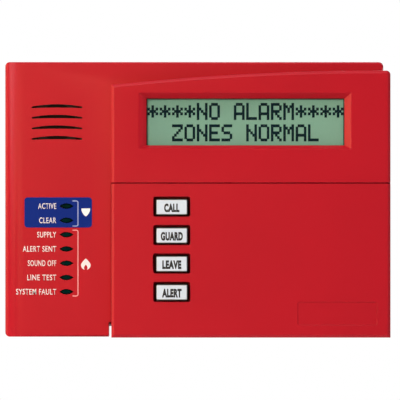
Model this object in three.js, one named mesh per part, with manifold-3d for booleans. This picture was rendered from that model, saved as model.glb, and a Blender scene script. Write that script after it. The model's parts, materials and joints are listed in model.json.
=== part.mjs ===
// Wall keypad of a fire and burglary alarm: a red housing that snaps onto a wall plate, with a drop door,
// sixteen keys, seven status lights, a sounder and a two-row character display.
//
// Millimetres, +X to the right and +Z up. The wall is the plane y = 0 and the unit stands out from it towards
// -Y. A depth is a distance out from the wall, so depth d lies at y = -d. The origin is the middle of the
// housing's outline, on the wall.

import * as THREE from 'three';
import { mergeVertices } from 'three/addons/utils/BufferGeometryUtils.js';
import Module from 'manifold-3d';

const wasm = await Module();
wasm.setup();

// ---------------------------------------------------------------------------------- driving dimensions

const fit = { part: 0.3, contact: 0.06, key: 0.35, split: 0.45, pin: 0.25, plate: 0.4 };

const body = {
  width: 183.8,
  height: 133.5,
  back: 0.6,
  face: 23,
  wall: 2.2,
  corner: 2.2,
  edge: 1,
  rollWidth: 9,
  rollDrop: 2.4,
};

// The raised module holds the display bezel above and the door below. Its top edge is a shallow arc.
const raised = {
  panelWidth: 51.7,
  overhang: 3.3,
  face: 30,
  skirt: 20.5,
  topReveal: 4.25,
  crownRadius: 1185,
  crownFlat: 7.4,
  corner: 2,
  chamfer: 1.3,
  wall: 2.4,
};

const door = {
  rise: 74.65,
  drop: 0.3,
  plate: 2,
  flange: 1.6,
  catchWidth: 18,
  catchHeight: 4,
  catchDepth: 2.6,
};
// The bezel's ledge stands behind the door's right top corner and closes the view through the split.
const splitLedge = { drop: 1.2, depth: 24 };
const catchBump = { height: 0.6, depth: 1.2, engagement: 0.5 };
const nameRecess = { width: 38.5, height: 11.2, fromRight: 6.5, fromBottom: 6.05, depth: 0.3, corner: 0.8 };
const deck = { face: 21, plate: 2, lipDepth: 27, lipWall: 1.6 };
const hinge = { rise: 2.55, depth: 21.2, pinRadius: 1.1, pinLength: 2.2, earRadius: 2.1, bossRadius: 2.6 };
const hingeSlot = {
  width: 3.3,
  besideDoor: 1.4,
  wall: 2.3,
  boss: 3.3,
  above: 2.5,
  roof: 2,
  ramp: 2.4,
  rampDepth: 6,
};

const display = {
  width: 96.1,
  height: 22.8,
  fromRight: 22.3,
  fromTop: 13.5,
  depth: 3.1,
  slopeLeft: 3.9,
  slopeRight: 3.2,
  slopeTop: 2.7,
  slopeBottom: 1.7,
  collar: 5,
};
const windowPane = { margin: 1.95, thickness: 1.1, rib: 1.3 };
const lcd = {
  glassMargin: 2.4,
  glass: 2.2,
  backlight: 1.6,
  board: 1.6,
  boardMargin: 1.8,
  frameWall: 1.7,
  frameFront: 0.4,
  frameMargin: 0.8,
};
const lcdHeader = { width: 41, height: 2.6, rise: 2 };

const functionKey = {
  count: 4,
  windowWidth: 17.85,
  windowHeight: 9.7,
  windowCorner: 1,
  fromLeft: 20.4,
  fromSplit: 6.6,
  pitch: 13.78,
  besideGap: 1.2,
  aboveGap: 1.2,
  belowGap: 0.8,
  top: 30.4,
};
const keyLabel = { margin: 0.6, thickness: 0.15 };
const numberKey = { width: 17, rowGap: 4.58, top: 26.5, firstColumn: 32.9, columnPitch: 23 };
const keyFlange = { margin: 1.4, thickness: 1.1, belowDeck: 0.3 };
const keyCorner = 0.8;
const keyEdge = 0.6;
const mat = { sheet: 1, margin: 3, domeRadius: 3.2, domeTop: 2.4, domeHeight: 0.6 };

const indicator = {
  count: 7,
  blueCount: 2,
  width: 7.1,
  height: 2.8,
  pitch: 6.94,
  fromModule: 21.9,
  fromBottom: 21.85,
};
const lens = { recess: 0.2, endGap: 0.5, flangeWidth: 10, flangeHeight: 5, flange: 1.2 };
const led = { radius: 1.5, rim: 1.8, rimHeight: 0.9, height: 4.2 };
const statusLabel = {
  width: 32.85,
  height: 14.67,
  fromModule: 9.5,
  lift: 0.38,
  thickness: 0.15,
  corner: 1.6,
};

const grille = {
  slots: 4,
  width: 24.6,
  endHeight: 0.85,
  upperRise: 1.1,
  lowerRise: 0.3,
  pitch: 5.13,
  fromModule: 26.5,
  fromTop: 21.45,
};
const sounder = { radius: 13, height: 4.5, portRadius: 2, portDepth: 1.6, gasketOuter: 12.5, gasketInner: 9 };

const board = {
  front: 14.6,
  thickness: 1.6,
  sideGap: 1.2,
  topGap: 1.6,
  bottomGap: 6.55,
  corner: 2,
  postInset: 5,
  postRadius: 3,
};
const boardScrew = { shank: 1, head: 2.1, headHeight: 1.4, length: 4.9, slotWidth: 0.6, slotDepth: 0.6 };
const chip = { size: 14, thickness: 1.8, x: -13, z: 17 };
const terminals = { count: 4, pitch: 5.2, width: 22, height: 10, depth: 7.9, port: 2.6, portDepth: 3 };
const terminalScrew = { head: 1.6, headHeight: 2.1, shank: 1, shankLength: 2.2, recess: 3, slot: 0.5 };

const plate = { thickness: 2, rimWall: 1.5, rimDepth: 6.5, ribDepth: 4, ribWall: 1.4, ribs: [-66, 66] };
const knockout = { x: [-64, 64], width: 20, height: 11, groove: 0.9, depth: 0.9, fromEdge: 7, corner: 1 };
const wireEntry = { x: 31, z: -18, width: 34, height: 24, corner: 3, collar: 1.4 };
const wallSlot = { across: 46, up: 83.3, width: 4.4, length: 9 };
const snap = { across: 55, width: 12, height: 0.7, depth: 1.2, from: 3.6 };
const innerLabel = { width: 66, height: 46, thickness: 0.25, fromRight: 12, fromTop: 10 };

// ------------------------------------------------------------------------------------- derived places

const left = -body.width / 2;
const right = body.width / 2;
const top = body.height / 2;
const bottom = -body.height / 2;

const raisedLeft = left + raised.panelWidth;
const raisedRight = right + raised.overhang;
const raisedTop = top - raised.topReveal;
const split = bottom + door.rise;
const doorTop = split - fit.split / 2;
const doorBottom = bottom - door.drop;
const doorInner = raised.face - door.plate;
const bezelBottom = split + fit.split / 2;
const bezelInner = raised.face - raised.wall;
const bezelFloor = bezelBottom + body.wall;
const ledgeBottom = bezelBottom - splitLedge.drop;
const panelInner = body.face - body.wall;
const panelRight = raisedLeft - fit.part;
const deckBack = deck.face - deck.plate;

const hingeZ = bottom + hinge.rise;
const slotLeft = panelRight - (hingeSlot.besideDoor - fit.part);
const slotRight = slotLeft + hingeSlot.width;
const slotTop = hingeZ + hingeSlot.above;
const hingeBlock = {
  x0: slotLeft - hingeSlot.wall,
  x1: slotRight + hingeSlot.boss,
  z1: slotTop + hingeSlot.roof,
};

const viewRight = raisedRight - display.fromRight;
const viewLeft = viewRight - display.width;
const viewTop = raisedTop - display.fromTop;
const viewBottom = viewTop - display.height;
const collarBack = raised.face - display.depth;
const paneFront = collarBack - fit.contact;
const paneBack = paneFront - windowPane.thickness;
const frameFront = paneBack - fit.contact;
const glassFront = frameFront - lcd.frameFront - fit.contact;
const glassBack = glassFront - lcd.glass;
const backlightBack = glassBack - fit.contact - lcd.backlight;
const lcdBoardFront = backlightBack - fit.contact;

const boardBack = board.front - board.thickness;
const boardLeft = left + body.wall + board.sideGap;
const boardRight = right - body.wall - board.sideGap;
const boardTop = top - body.wall - board.topGap;
const boardBottom = bottom + body.wall + board.bottomGap;

const functionKeyWidth = functionKey.windowWidth - 2 * functionKey.besideGap;
const functionKeyHeight = functionKey.windowHeight - functionKey.aboveGap - functionKey.belowGap;
const functionKeyX = raisedLeft + functionKey.fromLeft + functionKey.windowWidth / 2;
const windowZ = range(functionKey.count).map(
  (row) => split - functionKey.fromSplit - functionKey.windowHeight / 2 - row * functionKey.pitch,
);
const keyZ = windowZ.map((z) => z + (functionKey.belowGap - functionKey.aboveGap) / 2);
const numberKeyHeight = functionKey.pitch - numberKey.rowGap;
const firstColumnX = functionKeyX + numberKey.firstColumn;
const columnX = range(3).map((column) => firstColumnX + column * numberKey.columnPitch);
const flangeFront = deckBack - keyFlange.belowDeck;
const flangeBack = flangeFront - keyFlange.thickness;

const indicatorX = raisedLeft - indicator.fromModule;
const indicatorZ = range(indicator.count).map(
  (row) => bottom + indicator.fromBottom + (indicator.count - 1 - row) * indicator.pitch,
);
const grilleX = raisedLeft - grille.fromModule;
const grilleZ = range(grille.slots).map((row) => top - grille.fromTop - row * grille.pitch);
const sounderZ = (grilleZ[0] + grilleZ[grille.slots - 1]) / 2;

const plateInset = body.wall + fit.plate;
const boardPosts = [
  [boardLeft + board.postInset, boardBottom + board.postInset, panelInner],
  [boardRight - board.postInset, boardBottom + board.postInset, deckBack],
  [boardLeft + board.postInset, boardTop - board.postInset, panelInner],
  [boardRight - board.postInset, boardTop - board.postInset, bezelInner],
];
const terminalX = range(terminals.count).map((i) => (i - (terminals.count - 1) / 2) * terminals.pitch);
const terminalFront = boardBack - fit.contact;

// ------------------------------------------------------------------------------------------- materials

function plastic(colour, roughness) {
  return new THREE.MeshStandardMaterial({ color: colour, roughness, metalness: 0 });
}

function metal(colour, roughness) {
  return new THREE.MeshStandardMaterial({ color: colour, roughness, metalness: 1 });
}

const material = {
  redPlastic: () => plastic(0xc2222b, 0.45),
  greyPlastic: () => plastic(0xd9d6cf, 0.55),
  whiteKey: () => plastic(0xf4f4f2, 0.5),
  paper: () => plastic(0xfafafa, 0.7),
  blueFilm: () => plastic(0x1e3f92, 0.4),
  clearWindow: () => plastic(0xe8f0ea, 0.1),
  displayGlass: () => plastic(0x8ea88c, 0.25),
  backlight: () => plastic(0xe6eedc, 0.4),
  darkLens: () => plastic(0x10231c, 0.2),
  ledResin: () => plastic(0xc9d6c4, 0.2),
  circuitBoard: () => plastic(0x1f6b3a, 0.45),
  blackPlastic: () => plastic(0x17181a, 0.5),
  greenTerminal: () => plastic(0x2f8f55, 0.5),
  silicone: () => plastic(0xb9bcbc, 0.7),
  foam: () => plastic(0x2b2b2d, 0.95),
  steel: () => metal(0xb4b7ba, 0.35),
  brass: () => metal(0xb99a55, 0.35),
};

// ---------------------------------------------------------------------------------------- small tools

function range(count) {
  return Array.from({ length: count }, (unused, i) => i);
}

/** Closed geometry to a solid that can be joined and cut. */
function solid(geometry) {
  geometry.deleteAttribute('normal');
  geometry.deleteAttribute('uv');
  const merged = mergeVertices(geometry, 1e-4);
  const corners = merged.index.array;
  const triangles = [];
  for (let i = 0; i < corners.length; i += 3) {
    const [a, b, c] = corners.slice(i, i + 3);
    if (a !== b && b !== c && c !== a) {
      triangles.push(a, b, c);
    }
  }
  const vertProperties = merged.attributes.position.array;
  const triVerts = Uint32Array.from(triangles);
  return new wasm.Manifold(new wasm.Mesh({ numProp: 3, vertProperties, triVerts }));
}

function geometryOf(shape) {
  const mesh = shape.getMesh();
  const geometry = new THREE.BufferGeometry();
  geometry.setAttribute('position', new THREE.BufferAttribute(mesh.vertProperties, 3));
  geometry.setIndex(new THREE.BufferAttribute(mesh.triVerts, 1));
  geometry.computeVertexNormals();
  return geometry;
}

function joined(solids) {
  return solids.reduce((whole, next) => whole.add(next));
}

function without(whole, tools) {
  return tools.reduce((rest, tool) => rest.subtract(tool), whole);
}

/** Rectangle in X and Z, with round corners if a radius is given. */
function rectangle(x0, x1, z0, z1, radius = 0) {
  const shape = new THREE.Shape();
  const corners = [
    [x1 - radius, z0 + radius],
    [x1 - radius, z1 - radius],
    [x0 + radius, z1 - radius],
    [x0 + radius, z0 + radius],
  ];
  corners.forEach(([x, z], quarter) => {
    if (radius > 0) {
      shape.absarc(x, z, radius, ((quarter - 1) * Math.PI) / 2, (quarter * Math.PI) / 2, false);
    } else if (quarter === 0) {
      shape.moveTo(x, z);
    } else {
      shape.lineTo(x, z);
    }
  });
  return shape;
}

function centred(x, z, width, height, radius = 0) {
  return rectangle(x - width / 2, x + width / 2, z - height / 2, z + height / 2, radius);
}

/** Pointed oval: two arcs that meet at the ends, rising and sagging by different amounts. */
function pointedOval(x, z, width, rise, sag) {
  const shape = new THREE.Shape();
  shape.moveTo(x - width / 2, z);
  shape.quadraticCurveTo(x, z - 2 * sag, x + width / 2, z);
  shape.quadraticCurveTo(x, z + 2 * rise, x - width / 2, z);
  return shape;
}

/** An outline in X and Z, filled between two depths. */
function between(shape, from, to, steps = 3) {
  const settings = { depth: to - from, bevelEnabled: false, curveSegments: steps };
  return solid(new THREE.ExtrudeGeometry(shape, settings).rotateX(Math.PI / 2).translate(0, -from, 0));
}

/** The same, with the edge of its front face rounded off. */
function softened(shape, from, to, edge, steps = 3, edgeSteps = 2) {
  const settings = {
    depth: to - from - 2 * edge,
    bevelThickness: edge,
    bevelSize: edge,
    bevelOffset: -edge,
    bevelSegments: edgeSteps,
    curveSegments: steps,
  };
  const front = new THREE.ExtrudeGeometry(shape, settings).rotateX(Math.PI / 2).translate(0, -from - edge, 0);
  return solid(front).add(between(shape, from, to - edge, steps));
}

function box(x0, x1, z0, z1, from, to) {
  return between(rectangle(x0, x1, z0, z1), from, to);
}

/** A round bar that points out from the wall. */
function disc(x, z, radius, from, to, sides = 16) {
  const cylinder = new THREE.CylinderGeometry(radius, radius, to - from, sides);
  return solid(cylinder.translate(x, -(from + to) / 2, z));
}

/** A round bar along X. */
function rodAlongX(x0, x1, z, depth, radius, sides = 16) {
  const rod = new THREE.CylinderGeometry(radius, radius, x1 - x0, sides).rotateZ(Math.PI / 2);
  return solid(rod.translate((x0 + x1) / 2, -depth, z));
}

/** A section drawn as [z, depth] points, filled from x0 to x1. */
function acrossX(points, x0, x1) {
  const shape = new THREE.Shape(points.map(([z, depth]) => new THREE.Vector2(-z, -depth)));
  const settings = { depth: x1 - x0, bevelEnabled: false };
  return solid(new THREE.ExtrudeGeometry(shape, settings).rotateY(Math.PI / 2).translate(x0, 0, 0));
}

/** A turned piece about its own depth axis, from [radius, depth] points. */
function turned(points, sides = 16) {
  const profile = points.map(([radius, depth]) => new THREE.Vector2(radius, depth));
  return solid(new THREE.LatheGeometry(profile, sides).rotateX(Math.PI));
}

const keypad = new THREE.Group();

function piece(name, shape, colour, [x, depth, z] = [0, 0, 0], parent = keypad) {
  const mesh = new THREE.Mesh(geometryOf(shape), colour);
  mesh.name = name;
  mesh.position.set(x, -depth, z);
  parent.add(mesh);
}

// ------------------------------------------------------------------------------------- shared outlines

function bodyOutline(inset) {
  const corner = Math.max(body.corner - inset, 0);
  return rectangle(left + inset, right - inset, bottom + inset, top - inset, corner);
}

/** Everything behind the panel's face, which rolls back along the left edge. */
function behindFace(inset) {
  const start = left + inset;
  const face = body.face - inset;
  const section = new THREE.Shape();
  section.moveTo(start, 1);
  section.lineTo(start, body.rollDrop - face);
  const turn = start + body.rollWidth;
  const { rollWidth, rollDrop } = body;
  section.absellipse(turn, rollDrop - face, rollWidth, rollDrop, Math.PI, 1.5 * Math.PI, false);
  section.lineTo(right + 1, -face);
  section.lineTo(right + 1, 1);
  const settings = { depth: body.height + 2, bevelEnabled: false, curveSegments: 3 };
  return solid(new THREE.ExtrudeGeometry(section, settings).translate(0, 0, bottom - 1));
}

/** Outline of the raised module, bezel and door together, under its arched top edge. */
function raisedOutline(inset) {
  const x0 = raisedLeft + inset;
  const x1 = raisedRight - inset;
  const corner = raised.corner;
  const peak = raisedRight - raised.crownFlat;
  const radius = raised.crownRadius - inset;
  const sweep = Math.asin((peak - x0) / radius);
  const shape = new THREE.Shape();
  shape.moveTo(x0, doorBottom);
  shape.lineTo(x1, doorBottom);
  shape.absarc(x1 - corner, raisedTop - inset - corner, corner, 0, Math.PI / 2, false);
  shape.absarc(peak, raisedTop - raised.crownRadius, radius, Math.PI / 2, Math.PI / 2 + sweep, false);
  return shape;
}

/** Bezel and door as one block, chamfered all round. */
function raisedBlock() {
  return softened(raisedOutline(0), raised.skirt, raised.face, raised.chamfer, 3, 1);
}

function indicatorEye(z, endGap = 0, sideGap = 0) {
  const half = indicator.height / 2 - sideGap;
  return pointedOval(indicatorX, z, indicator.width - 2 * endGap, half, half);
}

/** An arched slot with rounded ends, thicker in the middle. */
function grilleSlot(z) {
  const half = (grille.width - grille.endHeight) / 2;
  const end = grille.endHeight / 2;
  const middle = grille.upperRise / 2;
  const shape = new THREE.Shape();
  shape.moveTo(grilleX - half, z - middle - end);
  shape.quadraticCurveTo(grilleX, z - middle - end + 2 * grille.lowerRise, grilleX + half, z - middle - end);
  shape.absarc(grilleX + half, z - middle, end, -Math.PI / 2, Math.PI / 2, false);
  shape.quadraticCurveTo(grilleX, z - middle + end + 2 * grille.upperRise, grilleX - half, z - middle + end);
  shape.absarc(grilleX - half, z - middle, end, Math.PI / 2, 1.5 * Math.PI, false);
  return shape;
}

// -------------------------------------------------------------------------------------- front housing

function housingOuter() {
  const shell = softened(bodyOutline(0), body.back, body.face, body.edge).intersect(behindFace(0));
  const aboveDoor = box(raisedLeft - 1, raisedRight + 1, bezelBottom, top + 1, 0, raised.face + 1);
  const bezel = raisedBlock().intersect(aboveDoor);
  const doorSpace = box(panelRight, right + 1, bottom - 1, bezelBottom, deck.face, raised.face + 1);
  const ledgeLeft = right - body.wall;
  const ledgeTop = bezelBottom + 0.5;
  const ledge = box(ledgeLeft, raisedRight, ledgeBottom, ledgeTop, raised.skirt, splitLedge.depth);
  return shell.subtract(doorSpace).add(bezel).add(ledge);
}

function housingCavity() {
  const inner = between(bodyOutline(body.wall), -1, panelInner).intersect(behindFace(body.wall));
  const behindDeck = box(panelRight - body.wall, right, bottom, bezelFloor, deckBack, body.face);
  const aboveFloor = box(raisedLeft, raisedRight, bezelFloor, top, deckBack, raised.face);
  const bezel = between(raisedOutline(raised.wall), deckBack, bezelInner).intersect(aboveFloor);
  const skirtWall = box(right - body.wall, raisedRight, bottom, top, 0, raised.skirt + body.wall);
  return inner.subtract(behindDeck).add(bezel.subtract(skirtWall));
}

/** The sloped surround of the display, narrowing from the bezel's face to the view opening. */
function displayFunnel() {
  const ring = [
    [viewLeft, viewBottom, collarBack],
    [viewRight, viewBottom, collarBack],
    [viewRight, viewTop, collarBack],
    [viewLeft, viewTop, collarBack],
    [viewLeft - display.slopeLeft, viewBottom - display.slopeBottom, raised.face],
    [viewRight + display.slopeRight, viewBottom - display.slopeBottom, raised.face],
    [viewRight + display.slopeRight, viewTop + display.slopeTop, raised.face],
    [viewLeft - display.slopeLeft, viewTop + display.slopeTop, raised.face],
  ];
  const sides = [[0, 1, 5, 4], [1, 2, 6, 5], [2, 3, 7, 6], [3, 0, 4, 7], [3, 2, 1, 0], [4, 5, 6, 7]];
  const triangles = sides.flatMap(([a, b, c, d]) => [a, b, c, a, c, d]);
  const geometry = new THREE.BufferGeometry();
  const points = ring.flatMap(([x, z, depth]) => [x, -depth, z]);
  geometry.setAttribute('position', new THREE.Float32BufferAttribute(points, 3));
  geometry.setIndex(triangles);
  const throatFront = collarBack + display.depth / 2;
  const throat = box(viewLeft, viewRight, viewBottom, viewTop, collarBack - 2, throatFront);
  return solid(geometry).add(throat);
}

function displayCollar() {
  const x = (viewLeft + viewRight) / 2;
  const z = (viewBottom + viewTop) / 2;
  const reach = 2 * display.collar;
  const outline = centred(x, z, display.width + reach, display.height + reach);
  const collar = between(outline, collarBack, bezelInner + 0.5);
  const paneWidth = display.width + 2 * (windowPane.margin + fit.part);
  const paneHeight = display.height + 2 * (windowPane.margin + fit.part);
  const rib = between(
    centred(x, z, paneWidth + 2 * windowPane.rib, paneHeight + 2 * windowPane.rib),
    paneBack,
    collarBack + 0.5,
  );
  const seat = between(centred(x, z, paneWidth, paneHeight), paneBack - 1, collarBack);
  return collar.add(rib).subtract(seat);
}

function hingeParts() {
  const block = box(hingeBlock.x0, hingeBlock.x1, bottom, hingeBlock.z1, body.back, deck.face);
  const boss = (x0, x1) => [
    rodAlongX(x0, x1, hingeZ, hinge.depth, hinge.bossRadius),
    box(x0, x1, bottom, hingeZ + hinge.bossRadius, deckBack, hinge.depth),
  ];
  const lip = box(slotRight, right, bottom, bottom + deck.lipWall, deckBack, deck.lipDepth);
  return [block, ...boss(slotRight, hingeBlock.x1), ...boss(right - hingeSlot.boss, right), lip];
}

function hingeCuts() {
  const slot = box(slotLeft, slotRight, bottom - 1, slotTop, -1, body.face + 1);
  const front = body.face + 1;
  const rampFoot = body.face - hingeSlot.rampDepth;
  const rampTop = slotTop + hingeSlot.ramp;
  const rampSection = [[slotTop - 1, rampFoot], [slotTop, rampFoot], [rampTop, front], [slotTop - 1, front]];
  const ramp = acrossX(rampSection, slotLeft, panelRight + fit.part);
  const bore = hinge.pinRadius + fit.pin;
  const reach = hinge.pinLength + fit.part;
  const leftBore = rodAlongX(slotRight - 1, slotRight + reach, hingeZ, hinge.depth, bore);
  const rightBore = rodAlongX(right - reach, right + 1, hingeZ, hinge.depth, bore);
  return [slot, ramp, leftBore, rightBore];
}

function boardPostParts() {
  const foot = board.front + fit.contact;
  return boardPosts.map(([x, z, ceiling]) => disc(x, z, board.postRadius, foot, ceiling + 0.5, 12));
}

function boardPostBores() {
  const bore = boardScrew.shank + fit.part;
  const end = boardBack + boardScrew.length + fit.part;
  return boardPosts.map(([x, z]) => disc(x, z, bore, board.front - 1, end, 12));
}

function keyHoles() {
  const hole = (x, z, width, height) => between(
    centred(x, z, width + 2 * fit.key, height + 2 * fit.key, keyCorner),
    deckBack - 1,
    deck.face + 1,
    2,
  );
  const functionHoles = keyZ.map((z) => hole(functionKeyX, z, functionKeyWidth, functionKeyHeight));
  const numberHoles = keyZ.flatMap((z) => columnX.map((x) => hole(x, z, numberKey.width, numberKeyHeight)));
  return [...functionHoles, ...numberHoles];
}

function panelHoles() {
  const through = (shape, steps) => between(shape, panelInner - 1, body.face + 1, steps);
  const eyes = indicatorZ.map((z) => through(indicatorEye(z), 4));
  const slots = grilleZ.map((z) => through(grilleSlot(z), 6));
  return [...eyes, ...slots];
}

function snapBoxes(reach, margin) {
  const sides = [-1, 1];
  const from = snap.from - margin;
  const to = snap.from + snap.depth + margin;
  const half = snap.width / 2 + margin;
  const edge = top - plateInset;
  return sides.flatMap((x) => sides.map((z) => {
    const ends = [z * (edge - 0.5), z * (edge + reach)].sort((a, b) => a - b);
    return box(x * snap.across - half, x * snap.across + half, ends[0], ends[1], from, to);
  }));
}

function catchGroove() {
  const x = (raisedLeft + raisedRight) / 2;
  const half = door.catchWidth / 2 + fit.part;
  const back = doorInner - door.catchDepth;
  const roof = bezelBottom + catchBump.engagement;
  return box(x - half, x + half, bezelBottom - 1, roof, back - fit.part, back + catchBump.depth + fit.part);
}

function frontHousing() {
  const shell = housingOuter().subtract(housingCavity());
  const whole = joined([shell, displayCollar(), ...hingeParts(), ...boardPostParts()]);
  return without(whole, [
    displayFunnel(),
    ...hingeCuts(),
    ...boardPostBores(),
    ...keyHoles(),
    ...panelHoles(),
    ...snapBoxes(snap.height + fit.part, fit.part),
    catchGroove(),
  ]);
}

// ------------------------------------------------------------------------------------------------ door

function doorEar(x0, x1, flangeBack) {
  const disk = rodAlongX(x0, x1, hingeZ, hinge.depth, hinge.earRadius);
  const neck = box(x0, x1, hingeZ - hinge.earRadius, hingeZ + hinge.earRadius, hinge.depth, flangeBack + 1);
  return disk.add(neck);
}

function doorCatch() {
  const x = (raisedLeft + raisedRight) / 2;
  const half = door.catchWidth / 2;
  const back = doorInner - door.catchDepth;
  const tongue = box(x - half, x + half, doorTop - door.catchHeight, doorTop, back, doorInner + 0.5);
  const bumpTop = doorTop + catchBump.height;
  return tongue.add(box(x - half, x + half, doorTop - 1, bumpTop, back, back + catchBump.depth));
}

function doorPanel() {
  const leftFlangeBack = body.face + fit.part;
  const below = box(raisedLeft - 1, raisedRight + 1, doorBottom - 1, doorTop, 0, raised.face + 1);
  const block = raisedBlock().intersect(below);
  const innerLeft = raisedLeft + door.flange;
  const innerRight = raisedRight - door.flange;
  const hollow = box(innerLeft, innerRight, doorBottom - 1, doorTop + 1, 0, doorInner);
  const leftTrim = box(raisedLeft - 1, innerLeft + 1, doorBottom - 1, doorTop + 1, 0, leftFlangeBack);
  const ledgeTrim = box(
    innerRight - 1,
    raisedRight + 1,
    ledgeBottom - fit.split,
    doorTop + 1,
    0,
    splitLedge.depth + fit.part,
  );
  const shell = without(block, [hollow, leftTrim, ledgeTrim]);
  const pins = [
    rodAlongX(innerLeft - 0.5, slotRight + hinge.pinLength, hingeZ, hinge.depth, hinge.pinRadius, 12),
    rodAlongX(right - hinge.pinLength, innerRight + 0.5, hingeZ, hinge.depth, hinge.pinRadius, 12),
  ];
  const ears = [
    doorEar(raisedLeft, innerLeft, leftFlangeBack),
    doorEar(innerRight, raisedRight, raised.skirt),
  ];
  return joined([shell, ...ears, ...pins, doorCatch()]);
}

function doorWindows() {
  return windowZ.map((z) => between(
    centred(functionKeyX, z, functionKey.windowWidth, functionKey.windowHeight, functionKey.windowCorner),
    doorInner - 1,
    raised.face + 1,
  ));
}

function doorNameRecess() {
  const x1 = raisedRight - nameRecess.fromRight;
  const z0 = doorBottom + nameRecess.fromBottom;
  const outline = rectangle(x1 - nameRecess.width, x1, z0, z0 + nameRecess.height, nameRecess.corner);
  return between(outline, raised.face - nameRecess.depth, raised.face + 1);
}

function doorInnerLabel() {
  const x1 = raisedRight - innerLabel.fromRight;
  const z1 = doorTop - innerLabel.fromTop;
  const front = doorInner - fit.contact;
  return box(x1 - innerLabel.width, x1, z1 - innerLabel.height, z1, front - innerLabel.thickness, front);
}

// ------------------------------------------------------------------------------------------ back plate

function slotHole(x, z) {
  const outline = centred(x, z, wallSlot.width, wallSlot.length, wallSlot.width / 2);
  return between(outline, -1, plate.ribDepth + 1);
}

/** Grooves in the wall face around the panels that are broken out for other cable runs. */
function knockoutGrooves() {
  const { width, height, groove, depth, corner } = knockout;
  const reach = top - plateInset - knockout.fromEdge - height / 2;
  const places = knockout.x.flatMap((x) => [[x, reach], [x, -reach]]);
  return places.map(([x, z]) => {
    const island = centred(x, z, width - 2 * groove, height - 2 * groove, corner);
    return between(centred(x, z, width, height, corner), -1, depth).subtract(between(island, -2, depth + 1));
  });
}

function backPlate() {
  const sheet = between(bodyOutline(plateInset), 0, plate.thickness);
  const rim = between(bodyOutline(plateInset), 0, plate.rimDepth);
  const rimInside = between(bodyOutline(plateInset + plate.rimWall), -1, plate.rimDepth + 1);
  const reach = top - plateInset - plate.rimWall / 2;
  const { ribWall, ribDepth, thickness } = plate;
  const ribs = plate.ribs.map((x) => box(x, x + ribWall, -reach, reach, thickness / 2, ribDepth));
  const collar = 2 * wireEntry.collar;
  const entryCollar = between(
    centred(wireEntry.x, wireEntry.z, wireEntry.width + collar, wireEntry.height + collar, wireEntry.corner),
    plate.thickness / 2,
    plate.ribDepth,
  );
  const entry = between(
    centred(wireEntry.x, wireEntry.z, wireEntry.width, wireEntry.height, wireEntry.corner),
    -1,
    plate.rimDepth,
  );
  const notchLeft = hingeBlock.x0 - fit.plate;
  const notchRight = hingeBlock.x1 + fit.plate;
  const notch = box(notchLeft, notchRight, bottom - 1, hingeBlock.z1 + fit.plate, -1, plate.rimDepth + 1);
  const slotX = wallSlot.across / 2;
  const slotZ = wallSlot.up / 2;
  const slots = [-slotX, slotX].flatMap((x) => [-slotZ, slotZ].map((z) => slotHole(x, z)));
  const whole = joined([sheet, rim.subtract(rimInside), ...ribs, entryCollar, ...snapBoxes(snap.height, 0)]);
  return without(whole, [entry, notch, ...slots, ...knockoutGrooves()]);
}

// ---------------------------------------------------------------------------------------------- display

function displayStack(margin, from, to) {
  const width = display.width + 2 * margin;
  const height = display.height + 2 * margin;
  return between(centred(0, 0, width, height), from, to);
}

function addDisplay() {
  const stack = new THREE.Group();
  stack.position.set((viewLeft + viewRight) / 2, 0, (viewBottom + viewTop) / 2);
  keypad.add(stack);

  const pocket = lcd.glassMargin + fit.part;
  const tray = displayStack(pocket + lcd.frameWall, backlightBack, frameFront);
  const frame = without(tray, [
    displayStack(pocket, backlightBack - 1, glassFront + fit.contact),
    displayStack(lcd.frameMargin, backlightBack, frameFront + 1),
  ]);
  const boardMargin = pocket + lcd.boardMargin;
  const lcdBoardBack = lcdBoardFront - lcd.board;
  const headerTop = -display.height / 2 - lcd.glassMargin + lcdHeader.rise;
  const header = centred(0, headerTop - lcdHeader.height / 2, lcdHeader.width, lcdHeader.height);

  const at = [0, 0, 0];
  const pane = displayStack(windowPane.margin, paneBack, paneFront);
  piece('display_window', pane, material.clearWindow(), at, stack);
  piece('lcd_frame', frame, material.steel(), at, stack);
  const glass = displayStack(lcd.glassMargin, glassBack, glassFront);
  piece('lcd_glass', glass, material.displayGlass(), at, stack);
  piece('lcd_backlight', displayStack(lcd.glassMargin, backlightBack, glassBack - fit.contact),
    material.backlight(), at, stack);
  const lcdBoard = displayStack(boardMargin, lcdBoardBack, lcdBoardFront);
  piece('lcd_board', lcdBoard, material.circuitBoard(), at, stack);
  piece('lcd_header', between(header, board.front + fit.contact, lcdBoardBack - fit.contact),
    material.blackPlastic(), at, stack);
}

// ----------------------------------------------------------------------------------------- circuit board

function mainBoard() {
  const outline = rectangle(boardLeft, boardRight, boardBottom, boardTop, board.corner);
  const sheet = between(outline, boardBack, board.front);
  const bore = boardScrew.shank + fit.part;
  return without(sheet, boardPosts.map(([x, z]) => disc(x, z, bore, boardBack - 1, board.front + 1, 12)));
}

/** Pan-head screw that points out from the wall, with the underside of its head at depth 0. */
function screw(shank, length, head, headHeight, slotWidth, slotDepth) {
  const turnedScrew = turned([
    [0, -headHeight], [head * 0.7, -headHeight], [head, -headHeight * 0.6], [head, 0], [shank, 0],
    [shank, length - shank], [0, length],
  ], 12);
  const half = slotWidth / 2;
  return turnedScrew.subtract(box(-head, head, -half, half, -headHeight - 1, slotDepth - headHeight));
}

function ledBody() {
  const shoulder = led.height - led.radius;
  const dome = range(3).map((i) => {
    const angle = ((i + 1) * Math.PI) / 6;
    return [led.radius * Math.cos(angle), shoulder + led.radius * Math.sin(angle)];
  });
  dome[2][0] = 0;
  return turned([[0, 0], [led.rim, 0], [led.rim, led.rimHeight], [led.radius, led.rimHeight],
    [led.radius, shoulder], ...dome], 12);
}

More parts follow.
